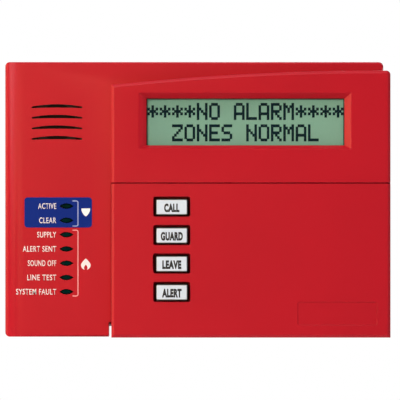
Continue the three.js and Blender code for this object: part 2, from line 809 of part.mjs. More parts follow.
function terminalBlock() {
  const front = 0;
  const back = -terminals.depth;
  const block = between(centred(0, 0, terminals.width, terminals.height), back, front);
  const head = terminalScrew.head + fit.part;
  const shank = terminalScrew.shank + fit.part;
  const floor = back + terminalScrew.recess;
  const shankEnd = floor + terminalScrew.shankLength + fit.part;
  const wells = terminalX.flatMap((x) => [
    disc(x, 0, head, back - 1, floor, 12),
    disc(x, 0, shank, floor - 1, shankEnd, 12),
  ]);
  const portBottom = -terminals.height / 2;
  const portFrom = floor + fit.part;
  const portTop = portBottom + terminals.portDepth;
  const half = terminals.port / 2;
  const portTo = portFrom + 2 * half;
  const ports = terminalX.map((x) => box(x - half, x + half, portBottom - 1, portTop, portFrom, portTo));
  return without(block, [...wells, ...ports]);
}

function addElectronics() {
  piece('main_board', mainBoard(), material.circuitBoard());
  piece('processor_chip', between(centred(0, 0, chip.size, chip.size), -chip.thickness, 0),
    material.blackPlastic(), [chip.x, boardBack - fit.contact, chip.z]);

  const screwShape = screw(boardScrew.shank, boardScrew.length, boardScrew.head, boardScrew.headHeight,
    boardScrew.slotWidth, boardScrew.slotDepth);
  boardPosts.forEach(([x, z], i) => {
    piece(`board_screw_${i + 1}`, screwShape, material.steel(), [x, boardBack - fit.contact, z]);
  });

  const ledShape = ledBody();
  indicatorZ.forEach((z, i) => {
    piece(`led_${i + 1}`, ledShape, material.ledResin(), [indicatorX, board.front + fit.contact, z]);
  });

  const terminal = new THREE.Group();
  terminal.position.set(wireEntry.x, -terminalFront, wireEntry.z);
  keypad.add(terminal);
  piece('terminal_block', terminalBlock(), material.greenTerminal(), [0, 0, 0], terminal);
  const clamp = screw(terminalScrew.shank, terminalScrew.shankLength, terminalScrew.head,
    terminalScrew.headHeight, terminalScrew.slot, terminalScrew.slot);
  const seat = terminalScrew.recess - terminals.depth - fit.contact;
  terminalX.forEach((x, i) => {
    piece(`terminal_screw_${i + 1}`, clamp, material.brass(), [x, seat, 0], terminal);
  });
}

function addSounder() {
  const back = board.front + fit.contact;
  const port = sounder.height - sounder.portDepth;
  const can = turned([
    [0, 0], [sounder.radius, 0], [sounder.radius, sounder.height], [sounder.portRadius, sounder.height],
    [sounder.portRadius, port], [0, port],
  ], 24);
  piece('sounder', can, material.blackPlastic(), [grilleX, back, sounderZ]);
  const ringBack = back + sounder.height + fit.contact;
  const ringHeight = panelInner - fit.contact - ringBack;
  const ring = disc(0, 0, sounder.gasketOuter, 0, ringHeight, 24);
  const bore = disc(0, 0, sounder.gasketInner, -1, ringHeight + 1, 24);
  piece('sounder_gasket', ring.subtract(bore), material.foam(), [grilleX, ringBack, sounderZ]);
}

// -------------------------------------------------------------------------------------- keys and lights

function keyBody(width, height, faceDepth) {
  const flange = 2 * keyFlange.margin;
  const cap = softened(centred(0, 0, width, height, keyCorner), flangeBack, faceDepth, keyEdge, 2, 1);
  return cap.add(between(centred(0, 0, width + flange, height + flange), flangeBack, flangeFront));
}

function addKeys() {
  const functionBody = keyBody(functionKeyWidth, functionKeyHeight, functionKey.top);
  const margin = 2 * keyLabel.margin;
  const labelBack = functionKey.top + fit.contact / 2;
  const labelOutline = centred(0, 0, functionKeyWidth - margin, functionKeyHeight - margin);
  const label = between(labelOutline, 0, keyLabel.thickness);
  keyZ.forEach((z, i) => {
    piece(`function_key_${i + 1}`, functionBody, material.whiteKey(), [functionKeyX, 0, z]);
    piece(`function_key_label_${i + 1}`, label, material.paper(), [functionKeyX, labelBack, z]);
  });

  const numberBody = keyBody(numberKey.width, numberKeyHeight, numberKey.top);
  const names = [['1', '2', '3'], ['4', '5', '6'], ['7', '8', '9'], ['star', '0', 'hash']];
  keyZ.forEach((z, row) => {
    columnX.forEach((x, column) => {
      piece(`key_${names[row][column]}`, numberBody, material.whiteKey(), [x, 0, z]);
    });
  });
}

function addMat() {
  const back = board.front + fit.contact;
  const reachAcross = keyFlange.margin + mat.margin;
  const x0 = functionKeyX - functionKeyWidth / 2 - reachAcross;
  const x1 = columnX[2] + numberKey.width / 2 + mat.margin;
  const z0 = keyZ[functionKey.count - 1] - numberKeyHeight / 2 - mat.margin;
  const z1 = keyZ[0] + numberKeyHeight / 2 + mat.margin;
  const sheet = box(x0, x1, z0, z1, back, back + mat.sheet);
  const dome = (x, z) => solid(new THREE.CylinderGeometry(
    mat.domeRadius, mat.domeTop, mat.domeHeight + mat.sheet / 2, 12,
  ).translate(x, -(back + mat.sheet * 0.75 + mat.domeHeight / 2), z));
  const domes = keyZ.flatMap((z) => [functionKeyX, ...columnX].map((x) => dome(x, z)));
  piece('keypad_mat', joined([sheet, ...domes]), material.silicone());
}

function addIndicators() {
  const flangeTop = panelInner - fit.contact;
  indicatorZ.forEach((z, i) => {
    const eye = indicatorEye(z, lens.endGap + fit.part, fit.part);
    const stub = between(eye, flangeTop - lens.flange / 2, body.face - lens.recess, 4);
    const rim = centred(indicatorX, z, lens.flangeWidth, lens.flangeHeight);
    const flange = between(rim, flangeTop - lens.flange, flangeTop);
    piece(`indicator_lens_${i + 1}`, stub.add(flange), material.darkLens());
  });

  const x1 = raisedLeft - statusLabel.fromModule;
  const z = (indicatorZ[0] + indicatorZ[indicator.blueCount - 1]) / 2 + statusLabel.lift;
  const half = statusLabel.height / 2;
  const outline = rectangle(x1 - statusLabel.width, x1, z - half, z + half, statusLabel.corner);
  const back = body.face + fit.contact / 2;
  const film = between(outline, back, back + statusLabel.thickness);
  const blueRows = indicatorZ.slice(0, indicator.blueCount);
  const eyes = blueRows.map((eyeZ) => between(indicatorEye(eyeZ), body.face - 1, body.face + 1, 4));
  piece('status_label', without(film, eyes), material.blueFilm());
}

// --------------------------------------------------------------------------------------------- assembly

piece('back_plate', backPlate(), material.greyPlastic());
piece('front_housing', frontHousing(), material.redPlastic());
piece('door', without(doorPanel(), [...doorWindows(), doorNameRecess()]), material.redPlastic());
piece('door_inner_label', doorInnerLabel(), material.paper());
addDisplay();
addElectronics();
addSounder();
addMat();
addKeys();
addIndicators();

export default keypad;
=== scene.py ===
"""Wall alarm keypad: finishes, lettering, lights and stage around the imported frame."""
import json
import math

import bpy
from bpy.props import FloatProperty, FloatVectorProperty, PointerProperty, StringProperty
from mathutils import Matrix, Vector

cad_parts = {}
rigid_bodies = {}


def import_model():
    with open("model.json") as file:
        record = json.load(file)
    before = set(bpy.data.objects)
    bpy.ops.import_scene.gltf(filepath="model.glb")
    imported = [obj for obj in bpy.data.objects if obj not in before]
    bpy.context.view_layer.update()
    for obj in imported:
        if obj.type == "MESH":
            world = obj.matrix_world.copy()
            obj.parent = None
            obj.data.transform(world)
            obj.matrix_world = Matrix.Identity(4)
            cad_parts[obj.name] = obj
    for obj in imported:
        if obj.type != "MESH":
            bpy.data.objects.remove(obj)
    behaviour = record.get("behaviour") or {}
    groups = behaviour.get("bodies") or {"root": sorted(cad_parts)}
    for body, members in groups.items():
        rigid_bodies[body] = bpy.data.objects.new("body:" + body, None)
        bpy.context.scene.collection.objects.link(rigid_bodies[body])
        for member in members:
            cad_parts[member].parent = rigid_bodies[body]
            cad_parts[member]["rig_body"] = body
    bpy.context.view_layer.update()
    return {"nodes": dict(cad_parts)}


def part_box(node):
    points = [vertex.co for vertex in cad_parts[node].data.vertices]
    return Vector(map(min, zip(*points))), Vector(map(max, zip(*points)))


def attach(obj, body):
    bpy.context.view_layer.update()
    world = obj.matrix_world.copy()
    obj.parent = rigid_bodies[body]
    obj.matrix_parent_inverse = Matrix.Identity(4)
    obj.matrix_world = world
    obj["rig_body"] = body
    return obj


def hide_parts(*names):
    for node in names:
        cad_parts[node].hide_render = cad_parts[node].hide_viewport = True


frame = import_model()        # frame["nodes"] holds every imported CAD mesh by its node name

bl_info = {
    "name": "Wall Alarm Keypad",
    "version": (1, 0, 0),
    "blender": (4, 5, 0),
    "location": "3D View > Sidebar > Keypad",
    "description": "Finishes, lettering, lights and stage for the wall alarm keypad",
    "category": "Object",
}

MM = 0.001
FRONT = Vector((0, -1, 0))
UPRIGHT = (math.pi / 2, 0, 0)

MERGE_DISTANCE = 0.002 * MM
FLAT_ANGLE = math.radians(0.4)
SHARP_ANGLE = math.radians(40)
SMOOTH_ANGLE = math.radians(50)

# Every dot-matrix letter that the display shows, seven rows of five dots.
DOT_LETTERS = {
    "*": ("00000", "00100", "10101", "01110", "10101", "00100", "00000"),
    "A": ("01110", "10001", "10001", "10001", "11111", "10001", "10001"),
    "E": ("11111", "10000", "10000", "11110", "10000", "10000", "11111"),
    "L": ("10000", "10000", "10000", "10000", "10000", "10000", "11111"),
    "M": ("10001", "11011", "10101", "10101", "10001", "10001", "10001"),
    "N": ("10001", "10001", "11001", "10101", "10011", "10001", "10001"),
    "O": ("01110", "10001", "10001", "10001", "10001", "10001", "01110"),
    "R": ("11110", "10001", "10001", "11110", "10100", "10010", "10001"),
    "S": ("01111", "10000", "10000", "01110", "00001", "00001", "11110"),
    "Z": ("11111", "00001", "00010", "00100", "01000", "10000", "11111"),
    " ": ("00000",) * 7,
}

# Plain words of a general kind, each with its printed width in millimetres.
FUNCTION_WORDS = (("CALL", 7.4), ("GUARD", 10.7), ("LEAVE", 9.2), ("ALERT", 9.5))
STATUS_WORDS = (
    ("ACTIVE", 8.8), ("CLEAR", 8.3), ("SUPPLY", 9.3), ("ALERT SENT", 16.3),
    ("SOUND OFF", 13.8), ("LINE TEST", 14.1), ("SYSTEM FAULT", 19.5),
)
NUMBER_KEYS = ("1", "2", "3", "4", "5", "6", "7", "8", "9", "0", "star", "hash")
KEY_SIGNS = {"star": "*", "hash": "#"}

# Each light: name, place, width in metres, power in watts and colour.
LIGHTS = (
    ("key_light", (-0.62, -0.95, 0.6), 0.45, 6.0, (1.0, 0.95, 0.88)),
    ("front_left_light", (-0.28, -1.0, 0.1), 0.25, 2.2, (1.0, 0.72, 0.36)),
    ("left_light", (-0.9, -0.22, 0.1), 0.35, 3.7, (1.0, 0.72, 0.36)),
    ("top_light", (-0.15, -0.4, 1.0), 0.5, 5.0, (1.0, 0.95, 0.9)),
    ("fill_light", (0.75, -1.25, -0.25), 0.8, 1.6, (0.88, 0.94, 1.0)),
    ("rear_light", (0.4, 1.1, 0.6), 0.8, 7.0, (1.0, 1.0, 1.0)),
)


# ---------------------------------------------------------------- small tools

def clear_selection():
    bpy.ops.object.select_all(action="DESELECT")


def take(obj):
    """Makes obj the only selected and the active object."""
    clear_selection()
    obj.select_set(True)
    bpy.context.view_layer.objects.active = obj
    return obj


def settle(obj):
    """Puts the object's place, turn and scale into its mesh."""
    take(obj)
    bpy.ops.object.transform_apply(location=True, rotation=True, scale=True)
    return obj


def apply_modifier(obj, kind, **values):
    """Adds a modifier with these values and applies it."""
    take(obj)
    modifier = obj.modifiers.new(kind.title(), kind)
    for key, value in values.items():
        setattr(modifier, key, value)
    bpy.ops.object.modifier_apply(modifier=modifier.name)
    return obj


def mesh_edit(obj, *steps):
    """Runs edit-mode steps on the whole mesh, each a function of no arguments."""
    take(obj)
    bpy.ops.object.mode_set(mode="EDIT")
    bpy.ops.mesh.select_all(action="SELECT")
    for step in steps:
        step()
    bpy.ops.object.mode_set(mode="OBJECT")
    return obj


def keep_faces(obj, wanted):
    """Deletes every face whose centre wanted() refuses."""
    take(obj)
    bpy.ops.object.mode_set(mode="EDIT")
    bpy.ops.mesh.select_mode(type="FACE")
    bpy.ops.mesh.select_all(action="DESELECT")
    bpy.ops.object.mode_set(mode="OBJECT")
    for face in obj.data.polygons:
        face.select = not wanted(face.center)
    bpy.ops.object.mode_set(mode="EDIT")
    bpy.ops.mesh.delete(type="FACE")
    bpy.ops.object.mode_set(mode="OBJECT")
    return obj


def dress(obj, name, body, slot, material, *stands_for):
    """Names a finished piece, gives it its finish and puts it on its body."""
    obj.name = name
    obj.data.name = name
    obj.data.materials.clear()
    obj.data.materials.append(material)
    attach(obj, body)
    if stands_for:
        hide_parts(*stands_for)
    return obj


def paint(node, material):
    """Gives a CAD node that stays its finish."""
    for holder in frame["nodes"][node].material_slots:
        holder.material = material


def body_of(node):
    """The body that a CAD node rides on."""
    return frame["nodes"][node]["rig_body"]


def refined(node, name, slot, material, edge, segments=2, wanted=None):
    """A merged copy of a CAD node with its sharp edges softened, which stands for it."""
    source = frame["nodes"][node]
    obj = bpy.data.objects.new(name, source.data.copy())
    bpy.context.scene.collection.objects.link(obj)
    mesh_edit(
        obj,
        lambda: bpy.ops.mesh.remove_doubles(threshold=MERGE_DISTANCE),
        lambda: bpy.ops.mesh.dissolve_limited(angle_limit=FLAT_ANGLE),
    )
    if edge:
        soften(obj, edge, segments, wanted)
    bpy.ops.object.shade_smooth_by_angle(angle=SMOOTH_ANGLE)
    apply_modifier(obj, "WEIGHTED_NORMAL", weight=100, keep_sharp=True)
    return dress(obj, name, body_of(node), slot, material, node)


def soften(obj, edge, segments, wanted=None):
    """Rounds the object's sharp edges, where wanted() agrees."""
    take(obj)
    bpy.ops.object.mode_set(mode="EDIT")
    bpy.ops.mesh.select_mode(type="EDGE")
    bpy.ops.mesh.select_all(action="DESELECT")
    bpy.ops.object.mode_set(mode="OBJECT")
    mesh = obj.data
    faces_at = {}
    for face in mesh.polygons:
        for key in face.edge_keys:
            faces_at.setdefault(key, []).append(face.normal.copy())
    for line in mesh.edges:
        normals = faces_at.get(line.key, [])
        if len(normals) != 2 or normals[0].angle(normals[1], 0) < SHARP_ANGLE:
            continue
        middle = (mesh.vertices[line.vertices[0]].co + mesh.vertices[line.vertices[1]].co) / 2
        line.select = wanted is None or wanted(middle)
    bpy.ops.object.mode_set(mode="EDIT")
    bpy.ops.mesh.bevel(offset=edge, segments=segments, profile=0.5, clamp_overlap=False)
    bpy.ops.object.mode_set(mode="OBJECT")


# ---------------------------------------------------------------- finishes

# The part of its range that a noise pattern mostly takes, and how far the gloss strays.
NOISE_RANGE = (0.3, 0.7)
GLOSS_SPREAD = 0.05

# Where the painted shade on a function key's sides ends and its white face begins, and the colour of
# that painted shade, which stands for the shadow in the deep gap around each key.
GAP_SHADE_FRONT = -30.35 * MM
GAP_SHADE_BACK = -30.05 * MM
GAP_SHADE_COLOUR = (0.02, 0.016, 0.017, 1)


def shader(name, **sockets):
    """A new material with its node tree, its shader and plain values on the shader's sockets."""
    material = bpy.data.materials.new(name)
    material.use_nodes = True
    nodes = material.node_tree.nodes
    principled = nodes["Principled BSDF"]
    for key, value in sockets.items():
        principled.inputs[key.replace("_", " ")].default_value = value
    return material, nodes, material.node_tree.links, principled


def place_on(nodes, links, scale=(1, 1, 1)):
    """Object coordinates, stretched by scale."""
    where = nodes.new("ShaderNodeTexCoord")
    mapping = nodes.new("ShaderNodeMapping")
    mapping.inputs["Scale"].default_value = scale
    links.new(where.outputs["Object"], mapping.inputs["Vector"])
    return mapping.outputs["Vector"]


def noise(nodes, links, where, scale, detail=2.0, roughness=0.5):
    """A noise pattern, scale to the metre."""
    pattern = nodes.new("ShaderNodeTexNoise")
    pattern.inputs["Scale"].default_value = scale
    pattern.inputs["Detail"].default_value = detail
    pattern.inputs["Roughness"].default_value = roughness
    links.new(where, pattern.inputs["Vector"])
    return pattern.outputs["Fac"]


def between_colours(nodes, links, pattern, first, second):
    """A colour that runs from first to second with the pattern."""
    ramp = nodes.new("ShaderNodeValToRGB")
    low, high = ramp.color_ramp.elements
    low.position, high.position = NOISE_RANGE
    low.color = (*first, 1)
    high.color = (*second, 1)
    links.new(pattern, ramp.inputs["Fac"])
    return ramp.outputs["Color"]


def ranged(nodes, links, pattern, low, high):
    """The pattern as a number between low and high."""
    spread = nodes.new("ShaderNodeMapRange")
    spread.inputs["From Min"].default_value = NOISE_RANGE[0]
    spread.inputs["From Max"].default_value = NOISE_RANGE[1]
    spread.inputs["To Min"].default_value = low
    spread.inputs["To Max"].default_value = high
    links.new(pattern, spread.inputs["Value"])
    return spread.outputs["Result"]


def raised_by(nodes, links, principled, pattern, depth, strength):
    """Bumps the surface with the pattern, depth in metres."""
    bump = nodes.new("ShaderNodeBump")
    bump.inputs["Distance"].default_value = depth
    bump.inputs["Strength"].default_value = strength
    links.new(pattern, bump.inputs["Height"])
    links.new(bump.outputs["Normal"], principled.inputs["Normal"])


def tint(colour, amount):
    """The colour, lighter or darker by the amount."""
    return tuple(min(1.0, max(0.0, channel * (1 + amount))) for channel in colour)


def grained(name, colour, roughness, grain=2600.0, depth=0.012, strength=0.35, variation=0.05,
            patch=22.0, stretch=(1, 1, 1), **sockets):
    """A moulded, coated or printed finish: cloudy colour, uneven gloss and a fine grain, depth in mm."""
    material, nodes, links, principled = shader(name, **sockets)
    where = place_on(nodes, links, stretch)
    clouds = noise(nodes, links, where, patch, detail=4.0)
    cloudy = between_colours(nodes, links, clouds, tint(colour, -variation), tint(colour, variation))
    links.new(cloudy, principled.inputs["Base Color"])
    fine = noise(nodes, links, where, grain, detail=3.0, roughness=0.6)
    gloss = ranged(nodes, links, fine, roughness - GLOSS_SPREAD, roughness + GLOSS_SPREAD)
    links.new(gloss, principled.inputs["Roughness"])
    raised_by(nodes, links, principled, fine, depth * MM, strength)
    return material


def key_cap_with_painted_gap_shade(name, colour):
    """White key plastic with painted shade on its sides, which stands for the shadow in the gap between
    each key and its window, so that each key is framed by its window.
    """
    material = grained(name, colour, 0.4, grain=3200, depth=0.006, variation=0.02)
    nodes, links = material.node_tree.nodes, material.node_tree.links
    principled = nodes["Principled BSDF"]
    clouds = principled.inputs["Base Color"].links[0].from_socket
    # Painted shade: the faces behind the key's front face, its sides, take the dark shade colour.
    where = nodes.new("ShaderNodeTexCoord")
    split = nodes.new("ShaderNodeSeparateXYZ")
    links.new(where.outputs["Object"], split.inputs["Vector"])
    painted_shade_mask = nodes.new("ShaderNodeMapRange")
    painted_shade_mask.inputs["From Min"].default_value = GAP_SHADE_FRONT
    painted_shade_mask.inputs["From Max"].default_value = GAP_SHADE_BACK
    links.new(split.outputs["Y"], painted_shade_mask.inputs["Value"])
    mix = nodes.new("ShaderNodeMix")
    mix.data_type = "RGBA"
    links.new(painted_shade_mask.outputs["Result"], mix.inputs["Factor"])
    links.new(clouds, mix.inputs["A"])
    mix.inputs["B"].default_value = GAP_SHADE_COLOUR
    links.new(mix.outputs["Result"], principled.inputs["Base Color"])
    return material


def make_finishes(colours):
    """Every finish of the keypad, by name."""
    red, white, green = tuple(colours.red), tuple(colours.white), tuple(colours.display)
    return {
        "red": grained("red_moulded", red, 0.38, variation=0.03, Specular_IOR_Level=0.2),
        "grey": grained("grey_moulded", tuple(colours.plate), 0.55, grain=1800, depth=0.02),
        "white": grained("white_key_plastic", white, 0.4, grain=3200, depth=0.006,
                         variation=0.02),
        # Function key caps: white plastic with painted shade on their sides for the shadow in the gap
        # around each key.
        "cap": key_cap_with_painted_gap_shade("function_key_plastic_painted_gap_shade", white),
        "paper": grained("label_paper", (0.6, 0.68, 0.8), 0.6, grain=2400, depth=0.004,
                         stretch=(1, 1, 3), variation=0.02),
        "blue": grained("blue_printed_film", tuple(colours.blue), 0.35, depth=0.004,
                        variation=0.06, Specular_IOR_Level=0.05),
        "window": grained("clear_window", (0.16, 0.2, 0.18), 0.08, patch=8, grain=300,
                          depth=0.002, strength=0.1, Alpha=0.02,
                          Specular_IOR_Level=0.15),
        "display": grained("display_polariser", green, 0.45, patch=14, grain=4200,
                           depth=0.002, variation=0.05, Specular_IOR_Level=0.1),
        "backlight": grained("backlight_diffuser", (0.78, 0.84, 0.7), 0.4, depth=0.003),
        "dots": grained("display_dots", tuple(colours.dots), 0.5, grain=5000, depth=0.001,
                        variation=0.15, Specular_IOR_Level=0.02),
        "lens": grained("dark_lens", tuple(colours.lens), 0.18, grain=900, depth=0.004,
                        variation=0.25, patch=260, Specular_IOR_Level=0.03),
        "resin": grained("led_resin", (0.58, 0.66, 0.55), 0.2, grain=1200, depth=0.003),
        "board": grained("solder_mask", (0.013, 0.14, 0.045), 0.35, patch=420,
                         grain=1500, depth=0.02, variation=0.3),
        "black": grained("black_moulded", (0.008, 0.008, 0.009), 0.6, grain=2200, depth=0.02,
                         variation=0.25, Specular_IOR_Level=0.2),
        "terminal": grained("green_moulded", (0.028, 0.27, 0.09), 0.45, grain=2200, depth=0.015),
        "silicone": grained("silicone_rubber", (0.47, 0.49, 0.49), 0.65, grain=1500, depth=0.01),
        "foam": grained("closed_cell_foam", (0.024, 0.024, 0.026), 0.9, grain=1300, depth=0.12,
                        strength=0.7, variation=0.3),
        "steel": grained("plated_steel", (0.46, 0.47, 0.49), 0.32, grain=900, depth=0.004,
                         stretch=(1, 1, 14), Metallic=1.0),
        "brass": grained("plated_brass", (0.48, 0.32, 0.09), 0.3, grain=900, depth=0.004,
                         stretch=(8, 1, 1), Metallic=1.0),
        # Black print ink, also used for the line of painted shade inside the display window.
        "black_ink_and_painted_shade": grained("black_ink_and_painted_shade", (0.008, 0.008, 0.01), 0.5, grain=3000, depth=0.004,
                             variation=0.3),
        "white_ink": grained("white_ink", (0.8, 0.74, 0.76), 0.5, grain=3000, depth=0.004,
                             variation=0.05),
        "symbol_ink": grained("white_ink_on_film", (0.85, 0.87, 0.92), 0.45, grain=3000,
                              depth=0.004, variation=0.05),
        "film_ink": grained("pale_blue_ink", (0.28, 0.34, 0.62), 0.45, grain=3000,
                            depth=0.004, variation=0.05),
        "rose_ink": grained("rose_ink", (0.78, 0.3, 0.32), 0.5, grain=3000, depth=0.004,
                            variation=0.05),
    }


# ---------------------------------------------------------------- settings

class KeypadColours(bpy.types.PropertyGroup):
    """The colours a user would change."""
    red: FloatVectorProperty(
        name="Housing red", description="Colour of the housing and the door",
        default=(0.43, 0.0035, 0.0145), min=0, max=1, size=3, subtype="COLOR")
    white: FloatVectorProperty(
        name="Key white", description="Colour of the keys and their labels",
        default=(0.72, 0.76, 0.82), min=0, max=1, size=3, subtype="COLOR")
    plate: FloatVectorProperty(
        name="Wall plate grey", description="Colour of the plate on the wall",
        default=(0.62, 0.6, 0.55), min=0, max=1, size=3, subtype="COLOR")
    blue: FloatVectorProperty(
        name="Status film blue", description="Colour of the film behind the two upper lights",
        default=(0.005, 0.022, 0.2), min=0, max=1, size=3, subtype="COLOR")
    display: FloatVectorProperty(
        name="Display green", description="Colour of the display behind its characters",
        default=(0.19, 0.37, 0.285), min=0, max=1, size=3, subtype="COLOR")
    dots: FloatVectorProperty(
        name="Display dots", description="Colour of the characters on the display",
        default=(0.001, 0.012, 0.018), min=0, max=1, size=3, subtype="COLOR")
    lens: FloatVectorProperty(
        name="Unlit lens", description="Colour of the status lenses when they are off",
        default=(0.0, 0.014, 0.013), min=0, max=1, size=3, subtype="COLOR")


class KeypadSizes(bpy.types.PropertyGroup):
    """The sizes a user would change."""
    edge: FloatProperty(
        name="Housing edge", description="Radius on the sharp edges of the red mouldings",
        default=0.00025, min=0, max=0.001, precision=5, unit="LENGTH")
    key_edge: FloatProperty(
        name="Key edge", description="Radius on the edges of the keys",
        default=0.00035, min=0, max=0.001, precision=5, unit="LENGTH")
    ink: FloatProperty(
        name="Ink", description="Thickness of the printed lettering",
        default=0.00004, min=0.00001, max=0.0005, precision=5, unit="LENGTH")
    status_capitals: FloatProperty(
        name="Status capitals", description="Height of the status words",
        default=0.0028, min=0.001, max=0.01, precision=5, unit="LENGTH")
    key_capitals: FloatProperty(
        name="Key capitals", description="Height of the words on the function keys",
        default=0.0042, min=0.001, max=0.01, precision=5, unit="LENGTH")
    dot_spread: FloatProperty(
        name="Dot spread", description="How far each display dot bleeds past its own square",
        default=0.00012, min=0, max=0.0004, precision=5, unit="LENGTH")
    upper_line: StringProperty(
        name="Upper line", description="Sixteen characters of the display's upper row",
        default="****NO ALARM****")
    lower_line: StringProperty(
        name="Lower line", description="Sixteen characters of the display's lower row",
        default="  ZONES NORMAL  ")


FINISH = {}


def finish(name):
    """A finish, made with the scene's colours the first time."""
    if not FINISH:
        FINISH.update(make_finishes(bpy.context.scene.keypad_colours))
    return FINISH[name]


# ---------------------------------------------------------------- printing

LETTER_SPACING = 1.1
LETTER_SMOOTHNESS = 5
LETTER_MERGE = 0.0005


def word(text, width, height, corner, weight):
    """Flat lettering as a mesh that faces the front, its lower left corner at corner."""
    clear_selection()
    bpy.ops.object.text_add()
    obj = bpy.context.object
    obj.data.body = text
    obj.data.offset = weight
    obj.data.space_character = LETTER_SPACING
    obj.data.resolution_u = LETTER_SMOOTHNESS
    bpy.ops.object.convert(target="MESH")
    obj = bpy.context.object
    mesh_edit(obj, lambda: bpy.ops.mesh.remove_doubles(threshold=LETTER_MERGE))
    xs = [v.co.x for v in obj.data.vertices]
    ys = [v.co.y for v in obj.data.vertices]
    across = width / (max(xs) - min(xs)) if width else height / (max(ys) - min(ys))
    up = height / (max(ys) - min(ys))
    obj.rotation_euler = UPRIGHT
    obj.scale = (across, up, 1)
    obj.location = Vector(corner) - Vector((min(xs) * across, 0, min(ys) * up))
    return settle(obj)


def inked(obj, onto=None):
    """Lays a flat print on a surface, if one is given, and gives it its thickness."""
    thickness = bpy.context.scene.keypad_sizes.ink
    if onto:
        apply_modifier(obj, "SHRINKWRAP", wrap_method="PROJECT", target=onto,
                       use_project_y=True, use_project_x=False, use_project_z=False,
                       use_positive_direction=True, use_negative_direction=False)
    return apply_modifier(obj, "SOLIDIFY", thickness=thickness, offset=1.0)


def centred_word(text, height, node, weight, width=0.0, drop=0.0):
    """Lettering in the middle of a node's front face, or the drop below it."""
    low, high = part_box(node)
    obj = word(text, width, height, (0, low.y, 0), weight)
    xs = [v.co.x for v in obj.data.vertices]
    zs = [v.co.z for v in obj.data.vertices]
    obj.location.x = (low.x + high.x) / 2 - (min(xs) + max(xs)) / 2
    obj.location.z = (low.z + high.z) / 2 - (min(zs) + max(zs)) / 2 - drop
    return inked(settle(obj))


def flat_plate(width, height, centre):
    """A plane that faces the front."""
    clear_selection()
    bpy.ops.mesh.primitive_plane_add(size=1, location=centre, rotation=UPRIGHT)
    obj = bpy.context.object
    obj.scale = (width, height, 1)
    return settle(obj)


# ---------------------------------------------------------------- pieces

class KEYPAD_OT_housing(bpy.types.Operator):
    """Red housing and door with softened edges, in moulded plastic"""
    bl_idname = "keypad.housing"
    bl_label = "Housing and door"

    # Only edges in front of these depths are softened, and on the housing only above the door.
    housing_depth = -27 * MM
    door_depth = -29 * MM
    below_door_top = 1 * MM

    def execute(self, context):
        edge = context.scene.keypad_sizes.edge
        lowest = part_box("door")[1].z - self.below_door_top
        refined("front_housing", "housing_shell", "red_plastic", finish("red"), edge,
                wanted=lambda at: at.y < self.housing_depth and at.z > lowest)
        refined("door", "door_shell", "red_plastic", finish("red"), edge,
                wanted=lambda at: at.y < self.door_depth)
        return {"FINISHED"}


class KEYPAD_OT_wall_plate(bpy.types.Operator):
    """Plate on the wall that the housing snaps onto"""
    bl_idname = "keypad.wall_plate"
    bl_label = "Wall plate"

    def execute(self, context):
        edge = context.scene.keypad_sizes.edge
        refined("back_plate", "wall_plate", "grey_plastic", finish("grey"), edge)
        return {"FINISHED"}


class KEYPAD_OT_keys(bpy.types.Operator):
    """Four function keys with their labels, and the twelve number keys with their digits"""
    bl_idname = "keypad.keys"
    bl_label = "Keys"

    drop = 0.35 * MM
    word_weight = 0.06
    digit_weight = 0.02
    digit_height = 4.2 * MM
    star_height = 2.2 * MM
    function_cap_depth = -28 * MM
    number_cap_depth = -24 * MM

    def execute(self, context):
        sizes = context.scene.keypad_sizes
        for number, (text, width) in enumerate(FUNCTION_WORDS, 1):
            node = f"function_key_{number}"
            refined(node, f"function_cap_{number}", "white_key", finish("cap"), sizes.key_edge,
                    wanted=lambda at: at.y < self.function_cap_depth)
            label = f"function_key_label_{number}"
            paint(label, finish("paper"))
            lettering = centred_word(text, sizes.key_capitals, label, self.word_weight,
                                     width * MM, self.drop)
            dress(lettering, f"function_word_{number}", body_of(label), "black_plastic",
                  finish("black_ink_and_painted_shade"))
        for name in NUMBER_KEYS:
            node = f"key_{name}"
            refined(node, f"number_cap_{name}", "white_key", finish("white"), sizes.key_edge,
                    wanted=lambda at: at.y < self.number_cap_depth)
            height = self.star_height if name == "star" else self.digit_height
            lettering = centred_word(KEY_SIGNS.get(name, name), height, node, self.digit_weight)
            dress(lettering, f"number_print_{name}", body_of(node), "black_plastic",
                  finish("black_ink_and_painted_shade"))
        return {"FINISHED"}


